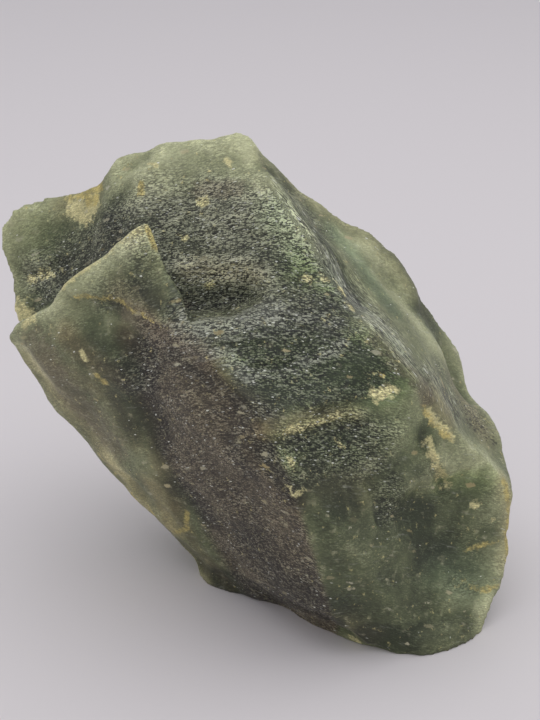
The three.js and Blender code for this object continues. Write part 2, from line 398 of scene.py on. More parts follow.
arch = ARCH_SLOPE * np.sqrt((place[:, 0] - ARCH_MIDDLE) ** 2 + ARCH_ROUNDING**2)
layer = 0.92 * place[:, 2] + 0.3 * place[:, 1] + arch + 1.6 * noise_over(place, (22, 22, 22), 3.7)
bedding = np.column_stack([ALONG_LAYERS * place[:, 0], ALONG_LAYERS * place[:, 1], layer])
past_ridge = place[:, 2] - np.interp(place[:, 0], *zip(*LONG_RIDGE))
right_flank = ramp(past_ridge, -1.5, 1.5) * facing((0.75, 0, 0.65), 0.35, 0.65)
across = place @ np.cross(RIDGE_WAY, OUT_OF_FLANK)
torn = np.column_stack([ALONG_FLANK * (place @ RIDGE_WAY), place @ OUT_OF_FLANK, across])
beside_ridge = near([(8, 2, 82), (21, -8, 65.5), (31, -15, 56), (42, -8, 45)], 9) * right_flank
grain_place = np.where(beside_ridge[:, None] > TORN_FROM, torn, bedding)
print("torn share of the skin:", round(float((beside_ridge > TORN_FROM).mean()), 3))

# %% [markdown]
# ## Where the mica lies open
#
# Some layers are nearly all mica. Where they come out the rock is grey, scaly and rough, and a
# face of bare quartz beside them is glassy. Noise alone would scatter the mica anywhere; soft
# patches along named lines put it in the pocket, on the shelf and under the brow.

# %% Mica
# lines that more than one table uses have a name of their own
BESIDE_RIDGELET = [(27, -26, 35), (29, -26, 31)]
UNDER_BROW = [(8, -33, 47), (16, -27.5, 47), (22, -26, 45)]
ABOVE_BROW = [(3, -29, 55), (12, -25, 55), (20, -21, 56)]
# name: (line, width in mm, share)
MICA = {
    "crown face": ([(-14, 1, 75), (-4, 0, 76), (6, 0, 75)], 18, 1.0),
    "pocket": ([(-11, -3, 66), (-2, -4, 67)], 12, 1.0),
    "shelf": ([(-9, -21, 66), (3, -19, 65), (14, -17, 63)], 11, 1.0),
    "below the shelf": ([(3, -23, 61), (14, -21, 60), (24, -17.6, 60)], 11, 0.85),
    "pocket to shelf": ([(-1, -9, 66), (8, -9, 67), (17, -8, 68)], 10, 0.85),
    "pocket's floor": ([(-8, -12, 65), (0, -14, 66.5), (10, -15, 66)], 8, 1.0),
    "above the brow": (ABOVE_BROW, 7, 0.6),
    "under the brow": (UNDER_BROW, 11, 0.75),
    "trough": ([(-22, 4, 77), (-27, 9, 73), (-36, 16, 64), (-43, 20, 59)], 10, 0.8),
    "by the ridgelet": (BESIDE_RIDGELET, 6, 0.7),
    "head of the brown face": ([(-16, -17, 62), (-19, -14, 52)], 9, 0.6),
    "torn band": ([(12, -2, 77), (21, -8, 65.5), (31, -15, 56), (40, -8, 45)], 9, 0.5),
    "plate": ([(-18, -10, 70), (-26, -7, 67)], 7, 0.3),
    "far right": ([(39, -4, 48), (46, 0, 38)], 9, 0.3),
}
# the same, for bare quartz
GLASSY = {
    "below the shelf": ([(19, -20.5, 57.5), (25, -17.5, 60)], 6, 0.75),
    "left lobe's foot": ([(-48, 22.5, 56.5), (-45, 20, 55)], 5, 0.7),
}


def patches(marks):
    """One mask for several soft patches."""
    return np.max([share * near(line, width) for line, width, share in marks.values()], axis=0)


mica = ramp(patches(MICA) + 0.2 * noise_over(place, (5, 5, 5), 11.3), 0.0, 0.85)
mica *= 1 - patches(GLASSY)
print("mica, as a mean over the skin:", round(float(mica.mean()), 3))

# %% [markdown]
# ## Steps and unevenness
#
# The layers end in steps of about 0.3 mm, and the quartz between them breaks in shallow lumps
# some millimetres wide. A bump in the material could fake both, but the rim would stay smooth
# against the floor, so they are pushed into the mesh. The steps come from a noise whose middle
# is made steep; they are highest where mica lies open.

# %% Relief
# heights in mm
STEP, FINE_STEP, GRIT, LUMP, SMALL_LUMP = 0.16, 0.14, 0.07, 0.4, 0.16
LEAST_ROUGH = 0.15

streaks = noise_over(grain_place, (4, 4, 2.2), 1.1)
fine_streaks = noise_over(grain_place, (2, 2, 1.2), 5.9)
grain = noise_over(place, (1.3, 1.3, 1.3), 8.2)
lumps = noise_over(place, (9, 9, 7), 17.1)
small_lumps = noise_over(place, (4, 4, 3.4), 2.3)

rough = LEAST_ROUGH + (1 - LEAST_ROUGH) * mica
height = rough * (STEP * np.tanh(2 * streaks) + FINE_STEP * fine_streaks)
height += GRIT * grain + (1 - right_flank) * (LUMP * lumps + SMALL_LUMP * small_lumps)
above_base = ramp(place[:, 2], 0.2, 3)
place += normal * (height * above_base)[:, None]
place[:, 2] = np.maximum(place[:, 2], 0)
normal = moved()
print("relief: mean step", round(float(np.abs(height).mean()), 2), "mm")

# %% [markdown]
# ## Where the stone is thin
#
# Aventurine lets light through for a few millimetres. Near an edge the light gets out again,
# and the rim glows yellow-green. At every corner of the skin, rays are sent into the stone, and
# the mean way to the other side says how thin the stone is there. The material paints that glow
# into the colour as painted light: the thin rim is paler and yellow-green.

# %% Thickness
REACH = 16.0  # mm
THINNEST = 1.5  # mm
UNDER_SKIN = 0.2  # mm; a ray that started on the skin would stop there
SLANT = 0.9
CONE = [(0, 0), (SLANT, 0), (-SLANT, 0), (0, SLANT), (0, -SLANT)]

skin.faces.ensure_lookup_table()
inside = BVHTree.FromBMesh(skin)
thickness = np.empty(len(place))
for index, (spot, way) in enumerate(zip(place, normal)):
    inward = Vector(-way)
    sideways = inward.orthogonal().normalized()
    other = inward.cross(sideways)
    start = Vector(spot) * MM + inward * UNDER_SKIN * MM
    total = 0.0
    for a, b in CONE:
        ray = (inward + a * sideways + b * other).normalized()
        hit = inside.ray_cast(start, ray, REACH * MM)
        total += REACH if hit[3] is None else hit[3] / MM
    thickness[index] = total / len(CONE)
thin = 1 - ramp(thickness, THINNEST, REACH - 1)
print("thin share of the skin:", round(float((thin > 0.5).mean()), 3))

# %% [markdown]
# ## Pale edges and dark hollows
#
# An edge that stands out lets light through, and little light reaches into a hollow, so the
# colour is painted with light and shade: edges paler, hollows darker. How far a corner stands out
# is its height over a much smoother copy of the skin. Some places are paler or darker stone, where
# the quartz is purer or richer in mica; others carry painted light and painted shade, such as the
# shadow along the foot. A list of named places could be painted by hand; as
# lines with widths they follow the skin and can be corrected one by one.

# %% Pale places
LOW_CHIP = [(-18, -7, 27), (-16, -6, 22), (-15, -5, 15)]
SHELF_BRIM = [(-2.6, -23.6, 62.2), (1, -25, 59), (6, -23.5, 59), (13.7, -19.9, 60), (18.4, -17.1, 62)]
BROW = [(4, -31.5, 50.5), (10, -28.7, 50.6), (19, -24, 51)]
# name: (line, width in mm, how much paler); some places are paler quartz, others painted light:
# the crown's foot is lifted where the plate shades it, and the crown's top and the right flank
# are paler where they face the light
PALE_AND_PAINTED_LIGHT = {
    "crown's top": ([(-24, 12, 84), (-12, 10, 89), (0, 11, 91)], 11, 0.4),
    "crown's right side": ([(3, 6, 84), (8, -1, 77)], 9, 0.35),
    "plate's tip": ([(-19, -8, 79), (-24, -4, 73)], 9, 0.12),
    # painted highlight along the plate's upper edge
    "plate's edge": ([(-19, -8, 81), (-30, -4, 69), (-41, 1, 60)], 3, 0.25),
    "left lobe": ([(-52, 24, 68), (-42, 24, 72.5), (-33, 19, 77)], 8, 0.1),
    "low right": ([(36, -22, 14), (44, -20, 8)], 6, 0.1),
    "left brim": ([(-45, 3, 46), (-34, 1, 33), (-22, -1, 18)], 8, 0.28),
    "chip low on the left": (LOW_CHIP, 5, 0.35),
    "pocket's back": ([(-10, -1.5, 68.5), (-3, -2.5, 68.3)], 3.5, 0.25),
    "shelf's right end": ([(19, -16.5, 62.2), (21, -15.5, 62)], 3.5, 0.25),
    "above the brow's left end": ([(8, -29.3, 53), (11, -28, 52.6)], 3.5, 0.3),
    "right lobe": ([(37, -18, 39), (43, -14, 37.5), (49, -9, 33)], 7, 0.28),
    "bulge": ([(26, -23, 51), (29, -24, 45)], 8, 0.06),
    "long ridge": ([(4, 4, 85), (10, -3, 78), (18, -8, 68), (26, -16, 61)], 4, 0.15),
    "torn face": ([(22, 10, 70), (30, 9, 61), (36, 6, 53)], 9, 0.4),
    "right rim": ([(50, -11, 29), (51.5, -11, 22), (51.5, -13.4, 12)], 5, 0.25),
    "middle of the left flank": ([(-42, 2, 55), (-33, -3, 45), (-25, -6, 34)], 9, 0.08),
    "brow": (BROW, 3.5, 0.45),
    "crown": ([(-6, 1, 79), (4, 1, 79)], 12, 0.12),
    # painted light, where the plate shades the crown's foot
    "crown's foot": ([(-12, -1.5, 70.5), (-6, -1.5, 70), (0, -3.6, 69.7), (4, -5, 69.7)], 4.5, 0.5),
    "plate's left": ([(-37, -2, 60), (-33, -4.2, 62.4), (-27, -8, 63.5)], 6, 0.35),
    "left outline": ([(-45, 3.5, 50), (-41, 3, 44)], 4, 0.6),
    "low left outline": ([(-28, -1, 29), (-26, 0, 24)], 4, 0.35),
    "valley's left side": ([(-20, -11, 37), (-18.5, -11, 33)], 4.5, 0.2),
    "shelf's brim": (SHELF_BRIM, 2, 0.15),
    "ridgelet": ([(22.5, -26.5, 41), (23.5, -27.2, 34)], 4, 0.3),
    "trough's left end": ([(-46, 21.9, 58.6), (-41, 19.8, 61.2)], 4, 0.25),
    "crown's left": ([(-15.7, 5.4, 81.7), (-9.8, 3.5, 80.3)], 6, 0.2),
    "torn band": ([(19, -4, 68), (23, -4, 64.5)], 5, 0.2),
    "right lobe's foot": ([(29, -24.7, 35), (35.5, -17.1, 31), (43.3, -13.3, 31.7)], 4.5, 0.4),
    "beside the streak": ([(31.4, -19.9, 51.4), (35.7, -17.5, 44.3)], 4, 0.25),
    "right rim, low": ([(48, -14.5, 15), (47.5, -18.5, 6)], 4, 0.15),
    "right rim's foot": ([(48, -18.5, 6), (45.5, -21.5, 2.5)], 3, 0.3),
    "inner side of the right lobe": ([(39, -15.8, 26), (38, -16, 22)], 4, 0.2),
    "below the hollow": ([(30.5, -25.2, 19), (30.5, -25.5, 15)], 4, 0.2),
    "beside the hollow": ([(28.4, -26.7, 20.3), (31.5, -23.4, 19.7)], 4, 0.2),
    "back's left": ([(-19, 31, 60), (-12.5, 32.5, 46), (-9, 30, 34)], 7, 0.25),
    "back's right edge": ([(26, 24.5, 38), (22, 25.5, 16)], 5, 0.3),
    "back's top": ([(-4, 21, 73), (8, 19, 72)], 6, 0.2),
}
print("pale places:", len(PALE_AND_PAINTED_LIGHT))

# %% Dark places
# name: (line, width in mm, how much darker); some places are darker stone, others painted shade:
# the shadow along the foot, on the low part and under the lower edge of the brown face, under
# the brow and behind the peak
DARK_AND_PAINTED_SHADE = {
    "middle of the back": ([(2, 26, 55), (8.5, 25, 51), (16, 19.5, 61)], 7, 0.2),
    "pocket": ([(-12, -2.5, 66), (-3, -3, 66)], 7, 0.15),
    "shelf": ([(-6, -20, 66), (2, -19, 65)], 6, 0.25),
    "shelf's middle": ([(3, -18, 65), (8, -18, 64), (15, -18, 63)], 7.5, 0.5),
    "shelf's top": ([(4, -12, 68), (11, -12, 68.5), (19, -10.7, 66)], 4, 0.3),
    "below the shelf": ([(3, -23, 60), (12, -21, 60.5), (22, -18.6, 58.5)], 9, 0.4),
    "above the brow": ([(3, -28, 56), (10, -25, 56), (16, -22, 56.5)], 7.5, 0.5),
    # painted shade under the brow's overhang
    "under the brow": ([(5, -33, 49), (12, -30, 47), (20, -26, 46)], 9, 0.25),
    "left of the ridgelet": ([(9, -35, 41), (15, -33, 38)], 8, 0.25),
    "edge of the brown face": (
        [(4, -32.8, 47.4), (6.5, -34.4, 43.5), (9, -35.5, 39)], 4, 0.35,
    ),
    "right hollow": ([(26, -26.5, 33), (30, -24, 31), (36, -18, 24), (31, -23, 21)], 11, 0.3),
    "front": ([(20, -31, 15), (30, -28, 10)], 14, 0.22),
    "valley": ([(-19, -15, 58), (-19, -12, 46), (-17, -12, 38)], 6.5, 0.45),
    "plate's right": ([(-18, -11, 73.5), (-15.6, -14, 71.4), (-12, -17.5, 70.4)], 6, 0.75),
    "plate's middle": ([(-27, -7.5, 66.5), (-23.5, -10, 66)], 4, 0.2),
    "crown's lower right": ([(3.5, -4, 73.5), (6, -5.5, 72.5)], 4, 0.3),
    "head of the left flank": ([(-28, -8, 61), (-25.7, -10.2, 59.2), (-23.3, -10.8, 49)], 6, 0.25),
    "slope above the brow": ([(1, -29, 57), (5.5, -28.3, 56), (18.2, -23.4, 54.5)], 5, 0.2),
    "upper edge of the brown face": (
        [(-13.7, -19.6, 61.4), (-8, -23, 59.5), (-1.7, -28.3, 57.2), (2, -30, 56)], 4.5, 0.25,
    ),
    "front left": ([(13.7, -35, 26), (15.5, -35, 31.4), (18.3, -32.6, 33.2)], 8, 0.27),
    "hollow, low": ([(35, -20, 18), (41.2, -18.3, 12.9)], 5, 0.15),
    # painted shadow where the foot meets the floor
    "foot": ([(23.8, -29.6, 5), (29.7, -28.7, 3), (38, -25.7, 1.5), (43, -23, 2)], 5, 0.75),
    # painted shade on the underside of the brown face, near the floor
    "lower edge of the brown face": ([(-4, -8, 2), (2.5, -13, 4), (8.4, -26, 8), (14, -28, 7)], 7, 1.0),
    "left side of the brown face": ([(-13, -13, 28.5), (-7.6, -15.2, 24)], 6, 0.4),
    "head of the brown face": ([(-2, -29.5, 46), (0, -31, 42)], 5, 0.35),
    "left flank": ([(-25, -8.3, 45), (-22.4, -8.6, 38)], 4, 0.3),
    "left of the front ridge": ([(-17.8, -14.8, 59), (-18.4, -14.7, 52)], 3.5, 0.3),
    "crown's left side": ([(-27.5, 10.6, 75.8), (-24, 10, 82)], 4, 0.3),
    "beside the right lobe": ([(34, -19, 44.5), (35, -18.5, 42)], 3.5, 0.35),
    "head of the hollow": ([(28, -25, 36.5), (30, -24, 34)], 3.5, 0.25),
    "foot of the hollow": ([(33, -21, 22), (34, -21, 19)], 3.5, 0.25),
    "middle of the torn face": ([(23, 8, 69), (28, 8, 65)], 4, 0.2),
    "lower torn face": ([(34, 10, 56), (37, 8, 51)], 4, 0.3),
    "left corner": ([(-49.3, 23.3, 56), (-48, 20.5, 52)], 4, 0.12),
    # painted shade on the low, downward-facing part of the brown face
    "foot of the brown face": ([(0, -25, 20), (12, -30, 12)], 12, 0.4),
    # painted shade in the strip behind the peak
    "behind the peak": ([(3, 10, 88), (7, 11, 84)], 5, 0.3),
    "right outline": ([(20, 19, 73), (31, 18, 64), (38, 15, 53)], 8, 0.4),
    "middle of the brown face": ([(-8, -20, 33), (-2, -24, 27)], 10, 0.12),
    "below the fold": ([(-30, -7.6, 54), (-24, -11, 54)], 6, 0.15),
    "trough": ([(-22, 5, 76), (-30, 11, 69), (-37, 17, 62)], 6.5, 0.15),
    "torn strip": ([(4, 7, 86.5), (7, 4, 83), (13, 0, 76), (20, -6, 66)], 4.5, 0.5),
}
print("dark places:", len(DARK_AND_PAINTED_SHADE))

# %% Paleness
HOLLOW_ROUNDS = 65
EDGE_HEIGHT = 0.8  # mm over the smoother skin
# what the whole skin has, and what thinness, edges and the right flank add: painted light in thin
# places and on edges, painted shade in hollows, and painted light on the right flank, which faces up
EVERYWHERE, FROM_THIN, FROM_EDGE, FROM_FLANK = 0.33, 0.35, 0.3, 0.12

smoother = place.copy()
for _ in range(HOLLOW_ROUNDS):
    smoother += PULL_IN * (neighbour_mean(smoother) - smoother)
standing_out = np.einsum("ij,ij->i", place - smoother, normal)
paleness_and_painted_shading = EVERYWHERE + FROM_THIN * thin + FROM_EDGE * np.tanh(standing_out / EDGE_HEIGHT)
paleness_and_painted_shading += FROM_FLANK * right_flank
for line, width, amount in PALE_AND_PAINTED_LIGHT.values():
    paleness_and_painted_shading += amount * near(line, width)
for line, width, amount in DARK_AND_PAINTED_SHADE.values():
    paleness_and_painted_shading -= amount * near(line, width)
print("paleness:", np.percentile(paleness_and_painted_shading, (2, 25, 50, 75, 98)).round(2))

# %% [markdown]
# ## The weathered face
#
# One face is brown: there the stone lay open for long, and its mica has rusted. The face could
# be picked by its direction alone, but the real edge between brown and green cuts across the
# form, so two lines that run up the lump bound it, and the direction only helps.

# %% Weathered face
# height, x
LEFT_OF_BROWN = ((4, -2), (14, -7), (24, -10.5), (35, -16.5), (50, -20), (63, -19.5))
RIGHT_OF_BROWN = (
    (4, 18), (13, 16), (26, 13), (37, 10), (46, 7.2), (50, 4), (55, 1), (62, -8), (66, -13.5),
)
WANDER = 1.5  # mm

left = np.interp(place[:, 2], *zip(*LEFT_OF_BROWN))
right = np.interp(place[:, 2], *zip(*RIGHT_OF_BROWN))
wander = WANDER * noise_over(place, (7, 7, 7), 4.4)
weathered = (
    ramp(place[:, 0] - left + wander, -1.5, 2.5)
    * ramp(right - place[:, 0] + 0.3 * wander, -0.8, 0.8)
    * facing((-0.5, -0.8, -0.1), 0.4, 0.7)
    * ramp(place[:, 2] + 0.5 * place[:, 0], 61, 57)
)
print("weathered share of the skin:", round(float(weathered.mean()), 3))

# %% [markdown]
# ## Marks
#
# Clay fills old cracks and bruises with chalky cream, iron colours rims and cracks yellow, rust
# spreads in broad faint stains, and a silvery sheen of fine mica is painted on the shelf. The
# cream also paints a highlight along the plate's edge. A picture could carry them, but it would
# need an unwrapped skin. Here each mark is a line with a width. The outlines are made ragged
# later, in the material, where detail is free.

# %% Milky marks
# name: (line, width in mm, strength)
MILKY_AND_HIGHLIGHTS = {
    "back": ([(-4.3, 20.7, 73), (-2.5, 21, 71.5)], 2.4, 0.75),
    "low on the back": ([(11.8, 29.7, 33.3), (14, 29, 31)], 1.8, 0.9),
    "crown oval": ([(-9.2, 3.7, 82), (-7.6, 3.7, 82.2)], 1.7, 1.0),
    "lobe patch": ([(-35.6, 21.5, 75), (-32.5, 18.2, 74.6), (-30.8, 17.9, 77.5)], 4.2, 1.0),
    "left corner": ([(-48.5, 20.6, 52), (-45.5, 20.6, 51)], 4.6, 1.0),
    "plate's left corner": ([(-44.5, 2.5, 57.5), (-42.5, 2, 58.5)], 2.6, 1.0),
    "lobe's foot": ([(-46, 21.9, 58.8), (-42, 20, 60.8), (-38, 17, 63.5)], 1.8, 1.0),
    # a painted highlight along the plate's upper edge, in the cream of the marks
    "plate's edge": (
        [(-19, -7.5, 80.8), (-24.5, -5.5, 77), (-30, -4, 72), (-36, -2, 66.5)], 1.8, 0.9,
    ),
    "peak": ([(-3.8, 8.3, 88.8), (-3.4, 8, 88.2)], 1.2, 0.8),
    "crown flecks": ([(-19.1, 10.2, 87.7), (-17.4, 8.8, 87.5)], 1.0, 0.9),
    "shelf fleck": ([(11.4, -6.8, 70.3), (12, -6.8, 70.3)], 1.3, 0.9),
    "brim fleck": ([(18, -6.9, 68.2), (18.6, -7, 67.8)], 1.5, 0.9),
    "rim fleck": ([(48.4, -13.2, 22), (48.9, -13, 21.4)], 1.3, 0.9),
    "lobe fleck": ([(44.5, -13.8, 25.4), (45.2, -13.7, 25)], 1.4, 0.9),
    "flank flecks": ([(-31.4, -7.6, 54.8), (-30.8, -7.6, 54.4)], 1.6, 0.9),
    "brow line": ([(4, -31.5, 50.2), (10, -28.7, 50.3), (17, -25, 50.6)], 1.8, 0.65),
    "brow spot": ([(7.4, -31, 50.3), (8.4, -30.4, 50.6)], 1.8, 1.0),
    "jade blob": ([(24, -22, 53.4), (27, -21, 54)], 2.5, 0.85),
    "right lip": ([(34.4, -19.2, 42), (36.3, -18.9, 37), (39.2, -14.5, 29.6)], 2.1, 0.7),
    "streak": ([(34.2, -17.9, 48), (36.3, -17, 44.8), (39.4, -15.5, 41)], 1.6, 0.95),
    "foot": ([(18.8, -25.5, 1.6), (21.8, -25.5, 1.2)], 1.6, 1.0),
    "pocket brim": ([(-2.6, -8, 65), (-1.4, -8, 66)], 1.5, 0.75),
    "pocket spot": ([(-7.5, -2.6, 67), (-6.5, -2.6, 67.4)], 1.5, 0.75),
    "crown left": ([(-12, 1, 75.5), (-11.2, 1, 75.8)], 1.3, 0.75),
    "left spot under the brow": ([(8, -35.3, 46.6), (8.5, -35.2, 46.4)], 1.6, 0.75),
    "right spot under the brow": ([(17, -27, 47.2), (17.3, -27, 45.6)], 1.1, 0.6),
    "front spot": ([(7.6, -35.8, 42.1), (8, -35.8, 42)], 1.1, 0.75),
    "front fleck": ([(9, -35.6, 40.8), (12, -35.4, 41.3)], 1.3, 0.75),
    "plate spot": ([(-21, -5, 72), (-20.5, -5, 71.6)], 1.6, 0.75),
    "brim spot": ([(14, -6, 71), (15, -6.5, 70)], 1.2, 0.75),
    "ridge spot": ([(19, -9, 66.5), (20, -10, 65.5)], 1.2, 0.75),
}
print("milky marks:", len(MILKY_AND_HIGHLIGHTS))

# %% Iron, rust and silver
RIGHT_RIM = [(51, -11, 29), (52, -11, 22), (52, -13.4, 12)]
IRON = {
    "back's edge": ([(-40, 31, 69), (-36, 33, 67), (-33.5, 34.5, 62)], 2.8, 0.7),
    "crack in the back": (
        [(-1, 31, 33), (2, 30.5, 28), (1.5, 30, 24), (5, 28.5, 19), (6, 27.5, 14)], 1.2, 0.6,
    ),
    "lobe rim": ([(-37, 22.5, 77), (-33, 20, 78.6), (-29.7, 18.3, 80.4)], 2.6, 1.0),
    "lobe drip": ([(-32.5, 18.5, 76.8), (-30, 17.9, 77.8)], 2.2, 1.0),
    "crown flecks": ([(-20.3, 7.4, 84.3), (-20.3, 6.4, 82.6)], 1.3, 1.0),
    "shoulder flecks": ([(-25.1, 14.7, 85.2), (-23.6, 14.8, 86.5)], 1.2, 1.0),
    "plate's tip": ([(-18.7, -8, 81), (-17.3, -9, 79.8), (-16.6, -9.6, 78.4)], 2.0, 1.0),
    "flank blot": ([(-28.6, -8.3, 50.4), (-27.4, -8.3, 49.6)], 1.8, 0.8),
    "fold": ([(-33, -4, 65.8), (-27.6, -7, 66.4), (-23.4, -10.5, 67.2), (-17, -17, 66)], 1.2, 0.8),
    "edge of the low chip": (
        [(-11.8, -11.7, 22.2), (-12.4, -9.8, 16.9), (-15.5, -5.5, 13)], 1.3, 0.9,
    ),
    "flank dot": ([(-20.5, -2.5, 17), (-20, -2.5, 16.5)], 1.5, 1.0),
    "streak": ([(33.6, -18.6, 48.5), (36, -17.6, 44.6), (39, -16, 41)], 1.5, 0.8),
    "dot below the cup": ([(25, -19.7, 56.4), (25.3, -19.7, 56.3)], 0.8, 1.0),
    "yellow step": ([(43, -19, 10.6), (46.5, -18.1, 8), (49.7, -16.6, 7.5)], 1.4, 0.7),
    "yellow band": ([(43.3, -15.9, 16), (46.4, -15.1, 16.6), (50.8, -12.7, 16.5)], 1.1, 0.6),
    "right rim": (RIGHT_RIM, 1.6, 1.0),
    "left brim": ([(-43, 2, 44), (-33, 3, 29), (-24, 1, 17)], 1.6, 1.0),
    "foot": ([(41, -24.3, 2.5), (42.5, -23.5, 2.7)], 1.2, 1.0),
}
RUST = {
    "back": ([(-9, 30, 24), (1, 31, 29)], 6, 0.9),
    "below the fold": ([(-22, -13, 66), (-16, -17, 63)], 5, 1.0),
    "brown face's head": ([(-13, -20, 65), (-8, -23, 61.5)], 4.5, 1.0),
    "left flank": ([(-41, 0, 52), (-34, 0, 42), (-28, -3, 34)], 10, 1.0),
    "crown": ([(-9, 4.5, 84), (-2, 4, 84.5)], 3.5, 1.0),
    "long ridge": ([(24, -15, 61), (29, -17.5, 57), (34, -17.5, 51)], 4, 1.0),
}
# a painted sheen, where sheets of fine mica would mirror the light
PAINTED_SHEEN = {
    "shelf": ([(-9, -20, 66.5), (-2, -18, 66.5), (4, -14, 67.3)], 6.5, 1.0),
    "shelf's middle": ([(2, -19, 65), (10, -15.5, 66), (17, -15, 64)], 5, 0.5),
    "shelf's brim": (SHELF_BRIM, 2, 0.7),
    "front ridge": ([(-9, -22.5, 62.5), (-2.6, -23.8, 62), (1, -25.4, 59)], 3.2, 1.0),
    "torn band": ([(14, -4, 74), (21, -8, 65.5), (29, -15, 58)], 5, 1.0),
}
milky_and_highlight, iron, rust, painted_sheen = patches(MILKY_AND_HIGHLIGHTS), patches(IRON), patches(RUST), patches(PAINTED_SHEEN)
# where the torn flank has small pits; their dark is painted later, as shade
pits = near([(36, -10, 50), (45, -2, 38), (49, -2, 34)], 9) * right_flank
print("marks:", len(IRON), "iron,", len(RUST), "rust,", len(PAINTED_SHEEN), "painted_sheen")

# %% [markdown]
# ## Hues that water left
#
# Along cracks and rims the quartz is tawny or umber, where fresh mica lies thick it is moss
# green, and where the light goes deep it is jade. Four more ramps of colour could be blended
# in; a tint is simpler, because the material will take only the hue from it.

# %% Tinted places
# name: colour and its places, each a (line, width, share)
TINTS = {
    "tawny": ("#93855A", {
        "back's edge": ([(-36, 33, 65), (-30.5, 35, 60), (-24, 32.5, 42)], 6, 0.5),
        "left brim": ([(-45, 3, 46), (-34, 1, 33), (-22, -1, 18), (-9, -4, 3)], 8, 0.5),
        "chip low on the left": (LOW_CHIP, 6, 0.75),
        "brow": (BROW, 4.5, 0.6),
        "right rim": (RIGHT_RIM, 4, 0.4),
        "rim of the left lobe": ([(-38, 22, 76), (-32, 19, 78)], 6, 0.4),
        "crown's left foot": ([(-27, 2, 78), (-20, -4, 80)], 6, 0.4),
        "under the fold": ([(-22, -12, 60.5), (-20.5, -13, 58.5)], 4.5, 0.9),
        "lower valley": ([(-14, -9, 22), (-9, -6, 12), (-4, -7, 3)], 5, 0.75),
        "rim of the torn face": (
            [(3, 10, 87), (9, 13, 81), (17, 14, 75.5), (28, 15, 67.5), (36, 14, 54.7)], 5, 0.2,
        ),
    }),
    "umber": ("#6E6042", {
        "low on the back": ([(-9, 30, 24), (7.6, 26.8, 12.4)], 7, 0.5),
        "left flank": ([(-38, -1, 50), (-33, -5, 49), (-27, -8, 46), (-22.4, -8.6, 38)], 6, 0.35),
        "below the plate": ([(-35, -5, 57.5), (-31, -7, 55), (-23, -11, 51)], 5, 0.6),
        "below the brow": ([(8, -33, 45), (14, -31, 40), (20, -28, 36)], 7, 0.3),
        "valley": ([(-20, -13, 47), (-17, -12, 36), (-14, -11, 25)], 5, 0.5),
        "front ridge": ([(-9, -23, 62), (-1.7, -28, 57.5), (3, -31, 53)], 5, 0.8),
        "edge of the brown face": (
            [(3, -32.6, 48), (5.5, -34.2, 42.5), (8, -35.5, 39)], 5, 0.7,
        ),
        "plate": ([(-23, -9, 68), (-17, -15, 67)], 6, 0.5),
        "crown's foot": ([(-11, -2, 70), (2, -3.6, 70)], 4, 0.25),
        "foot": ([(18, -30, 10), (23, -29.6, 5)], 6, 0.4),
        "far right": ([(43, 4, 42), (47, -1, 36)], 8, 0.4),
        "beside the streak": ([(35, -16, 50), (38, -14, 45)], 5, 0.4),
    }),
    "moss": ("#3F5322", {
        "middle of the back": ([(2, 26, 55), (16, 19.5, 61)], 9, 0.4),
        "below the shelf": ([(3, -22, 60), (15, -21, 58.5), (24, -19, 57)], 10, 0.9),
        "beside the long ridge": ([(10, -6, 72), (16, -8, 69)], 6, 0.5),
        "under the brow": ([(9, -33, 47), (17, -27.5, 47)], 8, 0.4),
        "bulge": ([(24, -22, 50), (30, -21, 44)], 9, 0.15),
        "left lobe": ([(-44, 23, 68), (-38, 20, 66)], 9, 0.1),
        "foot of the right lobe": ([(38, -15, 31), (46, -12, 30)], 5, 0.3),
    }),
    "jade": ("#5F7458", {
        "back's right": ([(26, 24.5, 38), (32, 18.5, 51)], 7, 0.4),
        "low right": ([(37, -20, 15), (44, -19, 11)], 8, 0.4),
        "torn face": ([(17.5, 10, 73.6), (21, 5.4, 70.4), (24.5, 1.8, 66), (28, 0, 61.5)], 5, 0.4),
        "crown's right side": ([(5, 0, 81), (9, -3, 76)], 6, 0.3),
    }),
}
# here the mica is fresh, and no grey is laid over it
GREEN_MICA = {
    "shelf and below": ([(0, -22, 62), (10, -21, 60.5), (22, -18, 59)], 12, 0.9),
    "above the brow": (ABOVE_BROW, 8, 0.9),
    "crown's right side": ([(5, 5, 82), (9, -1, 76), (15, -5, 71)], 8, 0.8),
    "under the brow": (UNDER_BROW, 11, 0.7),
    "by the ridgelet": (BESIDE_RIDGELET, 6, 0.8),
}
print("tints:", ", ".join(TINTS))

# %% [markdown]
# ## The skin with its masks
#
# The shaped skin becomes an object, and every measure goes with it as an attribute, a number
# stored at each corner, which the material reads by its name. Painted image maps would do the
# same, but their seams would cut through the grain.

